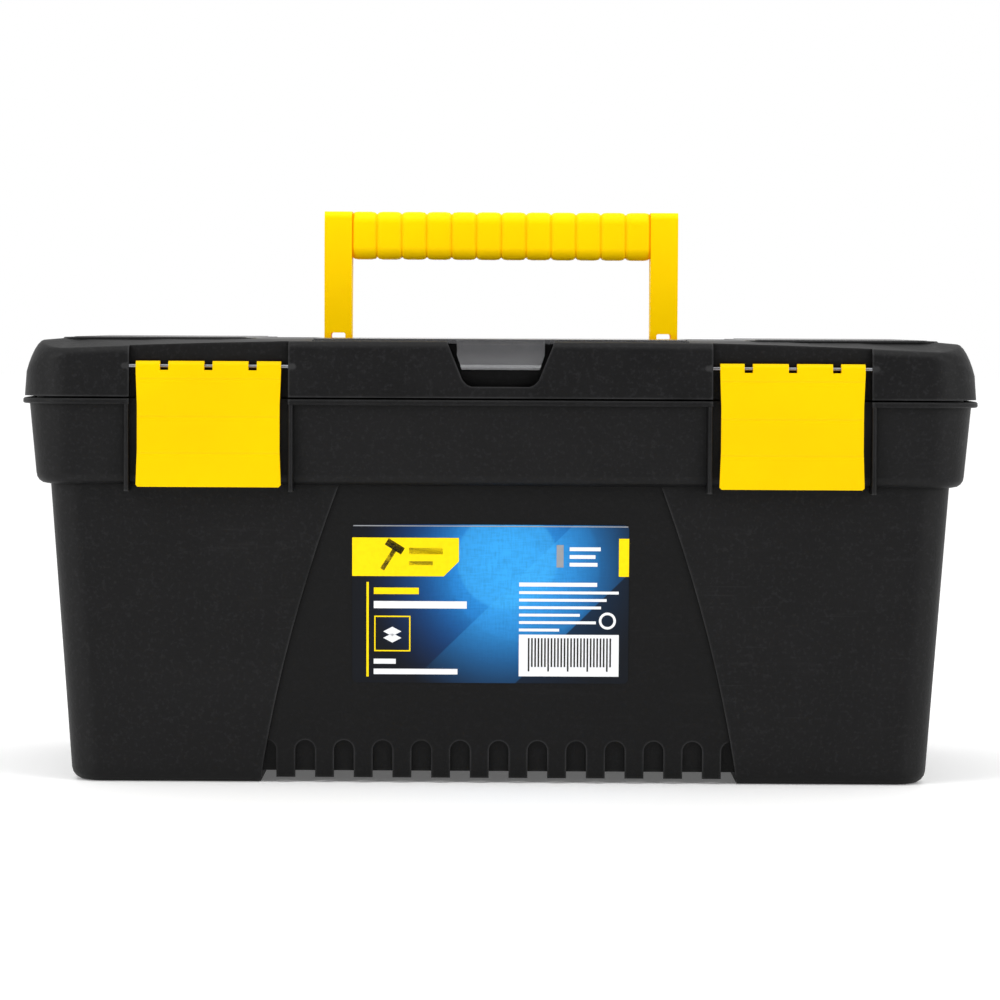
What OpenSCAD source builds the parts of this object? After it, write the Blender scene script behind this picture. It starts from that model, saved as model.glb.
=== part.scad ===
// Hand-carried plastic toolbox: a tapered tub, a hinged lid with a small-parts organizer
// under a clear cover, a folding carry handle, two flip latches on steel pins and a
// lift-out tray. Millimetres. The front faces -Y, the left is -X and the table is z = 0.

/* [Overall size] */
// Width over the rim bead, left to right
box_w = 380; // [330:1:456]
// Depth over the rim bead, front to back
box_d = 196; // [180:1:236]
// Height of the tub, from the table to the top of its rim
tub_h = 153.5; // [127:0.1:184]
// Height of the lid, from its lower edge to its flat top
lid_h = 23; // [22:0.1:29]

/* [Tub] */
// Wall thickness of the tub and the lid
wall = 2.2; // [1.8:0.1:2.6]
// Thickness of the tub's floor
floor_t = 2.5; // [2:0.1:4]
// Plan radius of the rim's corners
corner_r = 20; // [16:1:26]
// Plan radius of the corners below the band
low_corner_r = 13; // [9:1:16]
// How far the rim bead stands out from the band under it
bead_out = 2.6; // [1.8:0.1:2.9]
// Height of the rim bead
bead_h = 2.2; // [1.5:0.1:3]
// Height of the wide band, rim bead included
band_h = 34.1; // [33:0.1:42]
// How much the band narrows on each side from its top to its foot
band_draft = 2.6; // [1:0.1:3]
// How far the band overhangs the wall below it
band_step = 5.4; // [5:0.1:7.5]
// Radius under the band's lower edge
band_r = 4.4; // [2:0.1:4.8]
// How much each wall leans in between the band and the table
wall_draft = 8; // [4:0.1:12]
// Radius along the tub's foot
foot_r = 5; // [3:0.5:7]

/* [Front and back panel] */
// Half the width of the sunk panel at the table
panel_foot = 95.3; // [80:0.1:115]
// Half the width of the sunk panel under the band
panel_top = 64; // [50:0.1:77]
// How far the panel's slanting edges bow outward
panel_bow = 3.3; // [0:0.1:6]
// How far the panel is sunk into the wall
panel_sink = 1.3; // [0.8:0.1:1.6]
// How far the panel's foot clears the table
panel_lift = 2.2; // [1:0.1:3]
// How far the floor clears the table
floor_lift = 4.7; // [3.2:0.1:6]
// Width of each arched pocket along the panel's foot
arch_w = 7.9; // [6:0.1:9.4]
// Distance from one arched pocket to the next
arch_pitch = 15.47; // [12.5:0.01:18.6]
// Height of the arched pockets above the table
arch_top = 17.2; // [12:0.1:20]
// How far the arched pockets are sunk into the panel
arch_sink = 2.4; // [1.5:0.1:3]

/* [Latches] */
// Width of each latch
latch_w = 57.1; // [47:0.1:66]
// Distance from the end of the box to the middle of each latch
latch_from_end = 75; // [62:0.1:76]
// Height of each latch
latch_h = 49.6; // [48:0.1:51]
// Height of the top of each latch above the tub's rim
latch_over_rim = 14.9; // [13:0.1:16]
// Thickness of the latch plate
latch_t = 2.2; // [1.8:0.1:2.6]
// Gap on each side of a latch
latch_gap = 2.8; // [2:0.1:3.6]
// Radius of a latch pin
latch_pin_r = 0.7; // [0.6:0.05:1.1]

/* [Carry handle] */
// Width over the handle's legs
handle_w = 147; // [130:1:170]
// Height of the raised handle above its pivot
handle_h = 59; // [52:0.5:64]
// Width of each leg, seen from the front
leg_w = 11.4; // [10:0.1:13.8]
// Thickness of each leg, front to back
leg_t = 12; // [10:0.1:14]
// Height of the grip
grip_h = 19.8; // [16:0.1:22]
// Thickness of the grip, front to back
grip_t = 18; // [16:0.1:19]
// Number of rounded segments along the grip
grip_segments = 12; // [8:1:14]
// Radius of the stub axles
axle_r = 3.5; // [2.5:0.1:4]
// Distance of the pivot behind the middle of the box
pivot_back = 4; // [2:0.5:6]
// Clearance round the folded handle
handle_gap = 1; // [0.8:0.1:1.5]

/* [Organizer] */
// Inside width of the organizer in the lid
organizer_w = 142; // [120:1:150]
// Thickness of the clear cover
cover_t = 2; // [1.6:0.1:2.4]
// Number of cells in the organizer
organizer_cells = 3; // [2:1:4]
// Radius of the cover's hinge pegs
peg_r = 1.5; // [1.2:0.1:1.8]

/* [Tray] */
// Height of the tray
tray_h = 29; // [24:0.5:29]
// Wall thickness of the tray
tray_wall = 1.8; // [1.5:0.1:2.2]
// Gap between the tray and the tub
tray_gap = 1.2; // [1:0.1:2]
// Width of the tray's grip
tray_grip_w = 100; // [80:1:120]

/* [Lid hinges] */
// Distance from the middle of the box to each hinge
hinge_x = 95; // [80:1:114]
// Length of each hinge
hinge_w = 50; // [40:1:60]
// Radius of the hinge knuckles
knuckle_r = 2.9; // [2.7:0.1:3]
// Radius of each hinge pin
hinge_pin_r = 1.4; // [1.2:0.1:1.6]

/* [Label] */
// Width of the label
label_w = 110; // [80:1:120]
// Height of the label
label_h = 63.5; // [40:0.1:70]
// Height of the label's lower edge above the table
label_up = 40.5; // [25:0.1:44]
// Distance of the label's middle to the left of the box's middle
label_left = 3.6; // [0:0.1:10]

/* [Hidden] */
$fn = 48;

cut = 1;                    // how far a cutter runs past the face it opens
far = 400;                  // longer than the box in every direction
run_fit = 0.05;             // radial clearance of a pin or peg in its bore
seat_gap = 0.3;             // gap between two faces that meet
rim_gap = 0.8;              // gap between the tub's rim and the closed lid
corner_steps = 8;           // segments in each plan corner
fillet_steps = 4;           // segments in each lofted fillet
edge_steps = 6;             // segments in the lid's lofted upper edge
crown_steps = 11;           // points along the lid's crowned front edge
black = "#1d1d1f";
yellow = "#f2cf00";
steel = "#8d9094";

// Outline of the tub and the lid
mid_y = -2;                 // middle of the box: its hinges stand out at the back
half_w = box_w / 2;
half_d = box_d / 2;
front_y = mid_y - half_d;
back_y = mid_y + half_d;
band_z = tub_h - band_h;
band_foot_in = bead_out + band_draft;
low_in = band_foot_in + band_step;
floor_z = floor_lift + floor_t;
foot_w = 8;                 // width of the rim that each end stands on
ledge_z = band_z + wall;
bead_soft = 0.5;            // chamfer on the bead's edges

// Lid
lid_z = tub_h + rim_gap;
lid_top = lid_z + lid_h;
lid_in = 0.6;               // how far the lid's foot stands inside the rim bead
lid_draft = 0.7;
lid_edge_r = 3.8;           // radius along the lid's upper edge
lid_end_soft = 9;           // how much lower that radius starts along the ends
lid_end_lean = 3.2;         // how much further it leads inward along the ends
lid_slope_w = corner_r - 6.4;
lid_edge_drop = 0.6;        // how far that edge lies under the flat top
lid_end_drop = 0.3;         // further drop along the ends
lid_corner_drop = 4;        // further drop along the front and the back, at the corners
crown_flat = 60;            // half the width over which the front edge stays level
pad_rise = 0.5;
pad_x0 = 97;
pad_in = 15;
lip_out = bead_out + wall + 0.8;
lip_t = 1.6;
lip_h = 2.3;
flange_t = 1.8;

// Latches and the pockets they hang in
latch_x = half_w - latch_from_end;
pocket_half = latch_w / 2 + latch_gap;
barrel_r = latch_pin_r + 1.3;
latch_top_z = tub_h + latch_over_rim;
latch_foot_z = latch_top_z - latch_h;
latch_pin_y = front_y + barrel_r;
latch_pin_z = latch_top_z - barrel_r;
latch_back_y = front_y + latch_t;
pocket_y = latch_pin_y + barrel_r + 0.5;
station_y = latch_back_y + 0.9;
cheek = 4.2;
pin_hold = 2.6;             // how far each latch pin reaches into a cheek
slot_w = 3.3;               // slots in the latch's top edge, where the pin shows
slot_d = 3.6;
slot_pitch = 17.4;
waist = 0.5;
hook_tip_y = front_y + band_foot_in - 0.4;
guide_w = 2;
guide_foot = 2.4;           // how far the guides reach below the band
guide_y = front_y + 1.2;

// Handle
pivot_y = mid_y + pivot_back;
pivot_z = lid_top - 6.3;
leg_in = handle_w / 2 - leg_w;
grip_low = handle_h - grip_h;
grip_corner_r = 5;
groove_d = 1;
axle_len = 2.8;
window_w = 6;               // slot through each leg, just over the lid
window_z0 = 5;
window_z1 = 8.6;

// Recess for the folded handle
recess_x = handle_w / 2 + handle_gap;
island_x = leg_in - handle_gap;
recess_floor = pivot_z - grip_t / 2 - handle_gap;
recess_front = pivot_y - leg_t / 2 - handle_gap - 0.5;
recess_back = pivot_y + handle_h + handle_gap + 0.5;
island_back = pivot_y + grip_low - handle_gap - 0.5;
scoop_half = 34;
scoop_d = 10;
bearing_t = axle_len + handle_gap + 1.4;

// Organizer and its cover
cover_half = organizer_w / 2 + 3;
cover_under = lid_top - 1.7;
cover_front = front_y + 6.5;
peg_y = recess_front - wall - 6.3;
peg_z = cover_under - 2;
cover_arc = cover_t + 2;
ear_r = peg_r + 1.6;
ear_w = 3.4;
peg_len = 2.6;
trough_r = cover_arc + 0.5;
bin_front = front_y + 9.5;
bin_back = peg_y - trough_r - wall;
bin_floor = lid_z + 4.4;
divider_t = 1.6;
seat_side = seat_gap + 0.2;

// Notch in the lid's front edge, and the cover's tab in it
notch_top_half = 21.3;
notch_foot_half = 14;
notch_z = lid_z + 4.5;
notch_r = 2.5;
notch_back_y = bin_front - wall;
tab_half = 17.3;
tab_foot_half = 15.3;
tab_z = lid_z + 11.2;
tab_t = 1.8;
tab_y = front_y + 1.9;
tab_lip = 1;
tab_lip_h = 1.9;

// Lid hinges
hinge_y = back_y + 4 - knuckle_r;
hinge_z = tub_h - 3.2;
knuckle_gap = 0.5;
lid_knuckle_w = hinge_w * 0.24;
tub_knuckle_half = hinge_w / 2 - lid_knuckle_w - knuckle_gap;

// Tray
tray_z = ledge_z + seat_gap;
tray_in = band_foot_in + wall + tray_gap;
tray_r = 10;
tray_split = 62;            // distance of the cross walls from the middle
tray_grip_t = 12;
tray_lift = 4;              // how far the tray rises under the closed lid
tray_grip_top = recess_floor - wall - tray_lift - 0.9;
tray_bar_h = 10;

// Label
label_t = 0.25;
label_lift = 0.02;          // gap under the label, so it stays a separate piece
panel_lean = atan(wall_draft / band_z);

// ---- shared shapes ----

// Points of a rounded rectangle about (cx, cy), counter-clockwise seen from above.
function ring(cx, cy, hx, hy, r, z, steps = corner_steps) = [
    for (c = [0:3]) for (i = [0:steps])
        let (a = 90 * (c + i / steps),
             sx = (c == 0 || c == 3) ? 1 : -1,
             sy = c < 2 ? 1 : -1)
        [cx + sx * (hx - r) + r * cos(a), cy + sy * (hy - r) + r * sin(a), z]
];

// A ring of the rim's outline, taken in by one inset.
function rim_ring(inset, z) =
    ring(0, mid_y, half_w - inset, half_d - inset, corner_r - inset, z);

// How far the lower wall has leaned in at height z.
function lean(z) = wall_draft * (band_z - z) / band_z;

// A ring of the wall below the band, taken in by ix and iy.
function low_ring(ix, iy, z) =
    ring(0, mid_y, half_w - low_in - lean(z) - ix, half_d - low_in - lean(z) - iy,
        max(3, low_corner_r - ix), z);

// A solid through rings that all have the same number of points, from the lowest up.
module loft(rings) {
    n = len(rings[0]);
    last = len(rings) - 1;
    polyhedron(
        points = [for (one = rings) for (p = one) p],
        faces = concat(
            [[for (i = [0:n - 1]) i]],
            [for (k = [0:last - 1]) for (i = [0:n - 1])
                let (j = (i + 1) % n)
                each [
                    [k * n + i, (k + 1) * n + i, k * n + j],
                    [k * n + j, (k + 1) * n + i, (k + 1) * n + j]
                ]],
            [[for (i = [n - 1:-1:0]) last * n + i]]
        )
    );
}

// A profile in Y and Z, drawn out along X about x = 0.
module along_x(length) {
    rotate([90, 0, 90]) linear_extrude(length, center = true) children();
}

// A profile in X and Z, drawn out along Y from y0 to y1.
module along_y(y0, y1) {
    translate([0, y1, 0]) rotate([90, 0, 0]) linear_extrude(y1 - y0) children();
}

module box(x0, x1, y0, y1, z0, z1) {
    translate([x0, y0, z0]) cube([x1 - x0, y1 - y0, z1 - z0]);
}

module rod(r, x0, x1, y, z) {
    translate([x0, y, z]) rotate([0, 90, 0]) cylinder(r = r, h = x1 - x0);
}

// A flat rounded rectangle from (x0, y0) to (x1, y1).
module rounded(x0, x1, y0, y1, r) {
    translate([x0 + r, y0]) square([x1 - x0 - 2 * r, y1 - y0]);
    translate([x0, y0 + r]) square([x1 - x0, y1 - y0 - 2 * r]);
    for (x = [x0 + r, x1 - r]) for (y = [y0 + r, y1 - r]) translate([x, y]) circle(r = r);
}

module both_sides() {
    children();
    mirror([1, 0, 0]) children();
}

module front_and_back() {
    children();
    translate([0, 2 * mid_y, 0]) mirror([0, 1, 0]) children();
}

// ---- tub ----

module tub_outside() {
    bead_z = tub_h - bead_h;
    foot = [for (i = [0:fillet_steps])
        let (a = 90 * i / fillet_steps, d = foot_r * (1 - sin(a)))
        low_ring(d, d, foot_r * (1 - cos(a)))];
    brow = [for (i = [0:fillet_steps])
        let (a = 90 * i / fillet_steps)
        rim_ring(band_foot_in + band_r * (1 - sin(a)), band_z + band_r * (1 - cos(a)))];
    loft(concat(foot, [low_ring(0, 0, band_z)], brow, [
        rim_ring(bead_out, bead_z),
        rim_ring(bead_soft, bead_z),
        rim_ring(0, bead_z + bead_soft),
        rim_ring(0, tub_h - bead_soft),
        rim_ring(bead_soft, tub_h)
    ]));
}

// The hollow. Its front and back step in behind the sunk panels and the arched pockets.
module tub_inside() {
    deep = wall + panel_sink + arch_sink;
    step_z = arch_top + 2;
    inner_r = 3;
    floor_rings = [for (i = [0:2])
        let (a = 45 * i, d = inner_r * (1 - sin(a)))
        low_ring(wall + d, deep + d, floor_z + inner_r * (1 - cos(a)))];
    loft(concat(floor_rings, [
        low_ring(wall, deep, step_z),
        low_ring(wall, wall + panel_sink, step_z + arch_sink),
        low_ring(wall, wall + panel_sink, ledge_z),
        rim_ring(band_foot_in + wall, ledge_z),
        rim_ring(bead_out + wall, tub_h + cut)
    ]));
}

// Half the width of the sunk panel at height z: a straight slant plus a bow.
function panel_half(z) =
    let (t = z / band_z)
    panel_foot + (panel_top - panel_foot) * t + 4 * panel_bow * t * (1 - t);

module panel_outline() {
    steps = 10;
    side = [for (i = [0:steps]) let (z = band_z * i / steps) [panel_half(z), z]];
    polygon(concat([[panel_foot, -cut]], side,
        [for (i = [steps:-1:0]) [-side[i][0], side[i][1]]], [[-panel_foot, -cut]]));
}

// Everything in front of a plane sunk into the front wall.
module front_of_wall(sink) {
    along_x(far) polygon([
        [-far, -2],
        [front_y + low_in + lean(-2) + sink, -2],
        [front_y + low_in + sink, band_z],
        [-far, band_z]
    ]);
}

module panel_cut() {
    intersection() {
        along_y(-far / 2, mid_y) panel_outline();
        front_of_wall(panel_sink);
    }
}

module arches_cut() {
    count = floor(panel_foot / arch_pitch);
    intersection() {
        along_y(-far / 2, mid_y) intersection() {
            panel_outline();
            for (i = [-count:count]) translate([i * arch_pitch, 0]) {
                translate([-arch_w / 2, -cut]) square([arch_w, arch_top - arch_w / 2 + cut]);
                translate([0, arch_top - arch_w / 2]) circle(d = arch_w);
            }
        }
        front_of_wall(panel_sink + arch_sink);
    }
}

// Hollows the tub's underside behind the arched pockets and inside the rims it stands on.
module under_floor() {
    arch_y = front_y + low_in + lean(floor_lift) + panel_sink + arch_sink;
    box(-panel_foot, panel_foot, arch_y - 0.3, 2 * mid_y - arch_y + 0.3, -cut, floor_lift);
    reach = low_in + wall_draft + foot_r + foot_w / 2;
    both_sides() translate([0, 0, -cut]) linear_extrude(floor_lift + cut)
        rounded(panel_foot + foot_w, half_w - reach, mid_y - half_d + reach, mid_y + half_d - reach, 4);
}

// Upright guides on both sides of a latch.
module latch_guides() {
    both_sides() {
        x = pocket_half + guide_w / 2;
        translate([x, guide_y, band_z - guide_foot])
            cylinder(r = guide_w / 2, h = band_h + guide_foot - bead_h / 2);
        translate([x, 0, 0]) along_x(guide_w) polygon([
            [guide_y, band_z - guide_foot],
            [front_y + band_foot_in + band_r, band_z - guide_foot],
            [front_y + band_foot_in + band_r, band_z + wall / 2],
            [front_y + band_foot_in + wall / 2, band_z + wall / 2],
            [front_y + bead_out + wall / 2, tub_h - bead_h / 2],
            [guide_y, tub_h - bead_h / 2]
        ]);
    }
}

module tub_knuckle() {
    rod(knuckle_r, -tub_knuckle_half, tub_knuckle_half, hinge_y, hinge_z);
    box(-tub_knuckle_half, tub_knuckle_half, back_y - bead_out - wall / 2, hinge_y,
        hinge_z - knuckle_r, hinge_z + knuckle_r - 0.4);
}

// Clears the rim bead where the lid's knuckles swing.
module lid_knuckle_room() {
    both_sides() box(tub_knuckle_half, hinge_w / 2 + knuckle_gap, back_y - bead_out, far,
        hinge_z - knuckle_r - 1, tub_h + cut);
}

module tub() {
    color(black) difference() {
        union() {
            difference() {
                tub_outside();
                tub_inside();
            }
            for (x = [-latch_x, latch_x]) translate([x, 0, 0]) latch_guides();
            for (x = [-hinge_x, hinge_x]) translate([x, 0, 0]) tub_knuckle();
        }
        front_and_back() {
            panel_cut();
            arches_cut();
        }
        box(-panel_foot, panel_foot, -far, far, -cut, panel_lift);
        under_floor();
        for (x = [-latch_x, latch_x]) box(x - pocket_half, x + pocket_half,
            -far, station_y, band_z - guide_foot - cut, tub_h + cut);
        for (x = [-hinge_x, hinge_x]) translate([x, 0, 0]) {
            lid_knuckle_room();
            rod(hinge_pin_r + run_fit, -hinge_w / 2, hinge_w / 2, hinge_y, hinge_z);
        }
    }
}

// ---- lid ----

// The lid's foot outline as [x, y, nx, ny], with extra points along the front and the back.
lid_hx = half_w - lid_in;
lid_hy = half_d - lid_in;
lid_r = corner_r - lid_in;
lid_outline = [for (c = [0:3]) each concat(
    [for (i = [0:corner_steps])
        let (a = 90 * (c + i / corner_steps),
             sx = (c == 0 || c == 3) ? 1 : -1,
             sy = c < 2 ? 1 : -1)
        [sx * (lid_hx - lid_r) + lid_r * cos(a), mid_y + sy * (lid_hy - lid_r) + lid_r * sin(a),
         cos(a), sin(a)]],
    c % 2 == 1 ? [] : [for (k = [1:crown_steps])
        let (s = c == 0 ? 1 : -1)
        [s * (lid_hx - lid_r) * (1 - 2 * k / (crown_steps + 1)), mid_y + s * lid_hy, 0, s]]
)];

// How far the lid's upper edge lies under its flat top at an outline point.
function edge_drop(p) =
    let (t = max(0, (abs(p[0]) - crown_flat) / (lid_hx - crown_flat)))
    lid_edge_drop + lid_corner_drop * pow(t, 1.6) * p[3] * p[3] + lid_end_drop * p[2] * p[2];

function lid_point(p, inset, z) = [p[0] - p[2] * inset, p[1] - p[3] * inset, z];

// The lid's outside taken in by an inset, closed at the bottom at z0.
module lid_solid(inset, z0) {
    edge = [for (i = [0:edge_steps])
        let (a = 90 * i / edge_steps)
        [for (p = lid_outline) let (end = p[2] * p[2])
            lid_point(p, inset + lid_draft + lid_edge_r * (1 - cos(a)) + lid_end_lean * end * sin(a),
                lid_top - inset - edge_drop(p) - (lid_edge_r + lid_end_soft * end) * (1 - sin(a)))]];
    top = [for (p = lid_outline)
        lid_point(p, inset / 2 + lid_draft + lid_edge_r + lid_slope_w, lid_top - inset)];
    loft(concat([[for (p = lid_outline) lid_point(p, inset, z0)]], edge, [top]));
}

// Raised pad on one end of the lid, with a shallower terrace round it.
module lid_pad() {
    x1 = lid_hx - pad_in;
    hy = lid_hy - pad_in;
    cx = (pad_x0 + x1) / 2;
    hx = (x1 - pad_x0) / 2;
    for (step = [0, 1]) {
        d = 4 * step;
        top = lid_top + pad_rise * (step + 1) / 2;
        loft([
            ring(cx, mid_y, hx - d, hy - d, 8 - d, lid_top - wall / 2, 4),
            ring(cx, mid_y, hx - d, hy - d, 8 - d, top - 0.4, 4),
            ring(cx, mid_y, hx - d - 0.4, hy - d - 0.4, 7.6 - d, top, 4)
        ]);
    }
}

// Flange inside the lid's foot, with a lip that locates it in the tub's rim.
module lid_lip() {
    difference() {
        union() {
            loft([rim_ring(lid_in + wall / 2, lid_z), rim_ring(lid_in + wall / 2, lid_z + flange_t)]);
            difference() {
                loft([rim_ring(lip_out, lid_z - lip_h), rim_ring(lip_out, lid_z + flange_t / 2)]);
                box(-far, far, back_y - 26, far, lid_z - lip_h - cut, lid_z);
            }
        }
        loft([
            rim_ring(lip_out + lip_t, lid_z - lip_h - cut),
            rim_ring(lip_out + lip_t, lid_z + flange_t + cut)
        ]);
    }
}

// Lugs that carry the lid's knuckles.
module lid_lugs() {
    both_sides() {
        x0 = tub_knuckle_half + knuckle_gap;
        x1 = hinge_w / 2;
        rod(knuckle_r, x0, x1, hinge_y, hinge_z);
        translate([(x0 + x1) / 2, 0, 0]) along_x(x1 - x0) polygon([
            [hinge_y - knuckle_r + 0.3, hinge_z],
            [hinge_y + knuckle_r, hinge_z],
            [hinge_y + knuckle_r, lid_z + 1.5],
            [back_y - lid_in - wall / 2, lid_z + 9],
            [hinge_y - knuckle_r + 0.3, lid_z + 9]
        ]);
    }
}

// Blocks inside the lid from which its recesses are hollowed.
module lid_blocks() {
    seat_half = cover_half + seat_side + peg_len + 1.4;
    trough_floor = peg_z - ear_r - 0.5;
    box(-organizer_w / 2 - wall, organizer_w / 2 + wall, bin_front - wall, bin_back + wall,
        bin_floor - wall, lid_top);
    box(-seat_half, seat_half, cover_front - seat_side - wall, bin_back, cover_under - seat_gap - wall,
        lid_top);
    box(-seat_half, seat_half, bin_back, recess_front, trough_floor - wall, lid_top);
    box(-recess_x - bearing_t, recess_x + bearing_t, recess_front - wall, recess_back + wall,
        recess_floor - wall, lid_top);
    for (x = [-latch_x, latch_x]) box(x - pocket_half - cheek, x + pocket_half + cheek,
        front_y, pocket_y + wall, lid_z, lid_top);
    box(-notch_top_half - wall, notch_top_half + wall, front_y, notch_back_y + wall / 2,
        notch_z - wall, lid_top);
}

// Cells, cover seat and hinge trough of the organizer.
module organizer_cuts() {
    cell = (organizer_w - (organizer_cells - 1) * divider_t) / organizer_cells;
    for (i = [0:organizer_cells - 1]) {
        x0 = -organizer_w / 2 + i * (cell + divider_t);
        translate([0, 0, bin_floor]) linear_extrude(lid_top - bin_floor + pad_rise + cut)
            rounded(x0, x0 + cell, bin_front, bin_back, 3);
    }
    box(-cover_half - seat_side, cover_half + seat_side, cover_front - seat_side, peg_y + trough_r,
        cover_under - seat_gap, lid_top + cut);
    box(-cover_half - seat_side, cover_half + seat_side, bin_back + wall, peg_y + trough_r,
        peg_z - ear_r - 0.5, lid_top + cut);
    reach = cover_half + seat_side + peg_len;
    rod(peg_r + run_fit, -reach, reach, peg_y, peg_z);
}

// Recess for the folded handle, with its bearings and a scoop for the fingers.
module handle_cuts() {
    difference() {
        box(-recess_x, recess_x, recess_front, recess_back, recess_floor, lid_top + cut);
        difference() {
            box(-island_x, island_x, recess_front - cut, island_back, 0, lid_top + 2 * cut);
            translate([0, 0, recess_floor]) linear_extrude(far)
                rounded(-scoop_half, scoop_half, island_back - scoop_d, island_back + scoop_d, 8);
        }
    }
    // The island between the legs is open from below
    box(-island_x + wall, island_x - wall, recess_front + wall, island_back - scoop_d - wall,
        0, lid_top - wall);
    bore = recess_x + axle_len + 0.4;
    rod(axle_r + run_fit, -bore, bore, pivot_y, pivot_z);
}

module notch_outline() {
    h = lid_top + 3 - notch_z;
    spread = (notch_top_half - notch_foot_half) * h / (lid_top - lid_edge_drop - notch_z);
    lift = notch_r * (1 - sin(45));
    polygon([
        [-notch_foot_half - spread, notch_z + h],
        [-notch_foot_half - spread * notch_r / h, notch_z + notch_r],
        [-notch_foot_half + lift, notch_z + lift],
        [-notch_foot_half + notch_r, notch_z],
        [notch_foot_half - notch_r, notch_z],
        [notch_foot_half - lift, notch_z + lift],
        [notch_foot_half + spread * notch_r / h, notch_z + notch_r],
        [notch_foot_half + spread, notch_z + h]
    ]);
}

module lid() {
    color(black) difference() {
        union() {
            difference() {
                lid_solid(0, lid_z);
                lid_solid(wall, lid_z - cut);
            }
            intersection() {
                lid_solid(wall / 2, lid_z);
                lid_blocks();
            }
            both_sides() lid_pad();
            lid_lip();
            for (x = [-hinge_x, hinge_x]) translate([x, 0, 0]) lid_lugs();
        }
        organizer_cuts();
        handle_cuts();
        along_y(-far / 2, notch_back_y) notch_outline();
        for (x = [-latch_x, latch_x]) {
            box(x - pocket_half, x + pocket_half, -far, pocket_y, lid_z - cut, lid_top + cut);
            reach = pocket_half + pin_hold + 0.2;
            rod(latch_pin_r + run_fit, x - reach, x + reach, latch_pin_y, latch_pin_z);
        }
        for (x = [-hinge_x, hinge_x])
            rod(hinge_pin_r + run_fit, x - hinge_w / 2 - cut, x + hinge_w / 2 + cut, hinge_y, hinge_z);
    }
}

// ---- organizer cover ----

module cover_profile() {
    arc_end = acos(2 / cover_arc);
    polygon(concat(
        [[cover_front, cover_under], [cover_front + 0.4, cover_under + cover_t]],
        [for (i = [0:8]) let (a = arc_end * i / 8)
            [peg_y + cover_arc * sin(a), peg_z + cover_arc * cos(a)]]
    ));
}

module tab_outline() {
    knee = tab_z + 5.6;
    polygon([
        [-tab_half, cover_under + cover_t],
        [-tab_half, knee],
        [-tab_foot_half, tab_z],
        [tab_foot_half, tab_z],
        [tab_half, knee],
        [tab_half, cover_under + cover_t]
    ]);
}

module organizer_cover() {
    color("#b9bfc4", 0.5) {
        along_x(2 * cover_half) cover_profile();
        both_sides() {
            rod(ear_r, cover_half - ear_w, cover_half, peg_y, peg_z);
            rod(peg_r, cover_half - ear_w, cover_half + seat_side + peg_len - 0.3, peg_y, peg_z);
            box(cover_half - ear_w, cover_half, peg_y - ear_r, peg_y + 1, peg_z, cover_under + cover_t / 2);
        }
        along_y(tab_y, tab_y + tab_t) tab_outline();
        along_y(tab_y, cover_front + 1) intersection() {
            tab_outline();
            translate([-tab_half, cover_under]) square([2 * tab_half, cover_t]);
        }
        along_y(tab_y - tab_lip, tab_y + tab_t / 2) intersection() {
            tab_outline();
            translate([-tab_half, tab_z]) square([2 * tab_half, tab_lip_h]);
        }
    }
}

// ---- carry handle ----

// A ring of the grip's section, drawn in X and Y for turning along X.
function grip_ring(inset, x) =
    ring(0, handle_h - grip_h / 2, grip_t / 2 - inset, grip_h / 2 - inset, grip_corner_r - inset, x, 5);

module grip() {
    pitch = 2 * leg_in / grip_segments;
    rings = [for (i = [0:grip_segments - 1])
        let (x = -leg_in + i * pitch)
        each [
            grip_ring(groove_d, x), grip_ring(groove_d * 0.25, x + 0.9), grip_ring(0, x + 2.4),
            grip_ring(0, x + pitch - 2.4), grip_ring(groove_d * 0.25, x + pitch - 0.9)
        ]];
    rotate([90, 0, 90]) loft(concat(rings, [grip_ring(groove_d, leg_in)]));
}

module carry_handle() {
    color(yellow) translate([0, pivot_y, pivot_z]) {
        grip();
        both_sides() {
            rod(axle_r, leg_in + leg_w / 2, recess_x + axle_len, 0, 0);
            difference() {
                translate([leg_in + leg_w / 2, 0, 0]) union() {
                    along_x(leg_w) {
                        circle(r = leg_t / 2);
                        polygon([
                            [-leg_t / 2, 0], [leg_t / 2, 0],
                            [grip_t / 2, grip_low], [grip_t / 2, handle_h - 4],
                            [-grip_t / 2, handle_h - 4], [-grip_t / 2, grip_low]
                        ]);
                    }
                    along_x(leg_w) rounded(-grip_t / 2, grip_t / 2, grip_low, handle_h, 3);
                }
                along_y(-leg_t, leg_t)
                    rounded(leg_in + (leg_w - window_w) / 2, leg_in + (leg_w + window_w) / 2,
                        window_z0, window_z1, 0.8);
            }
        }
    }
}

// ---- latches ----

module latch() {
    side = latch_w / 2;
    tip = latch_foot_z + 1.6;
    color(yellow) difference() {
        union() {
            along_y(front_y, latch_back_y) polygon([
                [-side + 0.8, latch_foot_z],
                [-side, latch_foot_z + 0.8],
                [-side + waist, latch_foot_z + latch_h * 0.3],
                [-side + waist, latch_foot_z + latch_h * 0.65],
                [-side, latch_pin_z - 2],
                [-side, latch_pin_z],
                [side, latch_pin_z],
                [side, latch_pin_z - 2],
                [side - waist, latch_foot_z + latch_h * 0.65],
                [side - waist, latch_foot_z + latch_h * 0.3],
                [side, latch_foot_z + 0.8],
                [side - 0.8, latch_foot_z]
            ]);
            rod(barrel_r, -side, side, latch_pin_y, latch_pin_z);
            along_x(latch_w - 6) polygon([
                [latch_back_y - 0.6, latch_foot_z + 0.6],
                [hook_tip_y, tip],
                [hook_tip_y, tip + 1.2],
                [latch_back_y - 0.6, tip + 4]
            ]);
        }
        for (i = [-1:1]) box(i * slot_pitch - slot_w / 2, i * slot_pitch + slot_w / 2,
            front_y - cut, latch_pin_y + barrel_r + cut, latch_top_z - slot_d, latch_top_z + cut);
        rod(latch_pin_r + run_fit, -side - cut, side + cut, latch_pin_y, latch_pin_z);
    }
}

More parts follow.
